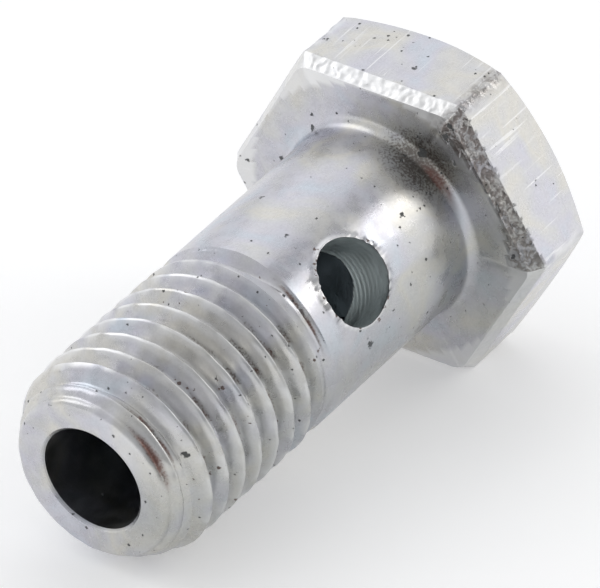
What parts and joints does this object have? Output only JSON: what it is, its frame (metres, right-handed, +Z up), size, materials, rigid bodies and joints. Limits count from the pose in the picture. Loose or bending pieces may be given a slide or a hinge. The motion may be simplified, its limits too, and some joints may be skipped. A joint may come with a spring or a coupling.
{
  "type": "banjo bolt",
  "caption": "Hollow hexagon-head bolt that clamps a ring-shaped pipe fitting to a port and passes oil through its bore and cross hole.",
  "frame": {"origin": "centre of the washer seat under the head, on the bolt's axis", "axes": "+Z up from the surface that the bolt lies on; +X towards the head and -X towards the thread end; the bolt's axis lies in the XZ plane and slopes down by 6.5 degrees towards the thread end; +Y completes the right-handed set, and the cross hole opens towards -Y and up"},
  "size_m": [0.0345, 0.0204, 0.0181],
  "materials": {
    "zinc_steel": "bright zinc-plated forged and turned steel, lightly scratched and pitted"
  },
  "bodies": {
    "root": {"banjo_bolt": "zinc_steel"}
  },
  "joints": []
}
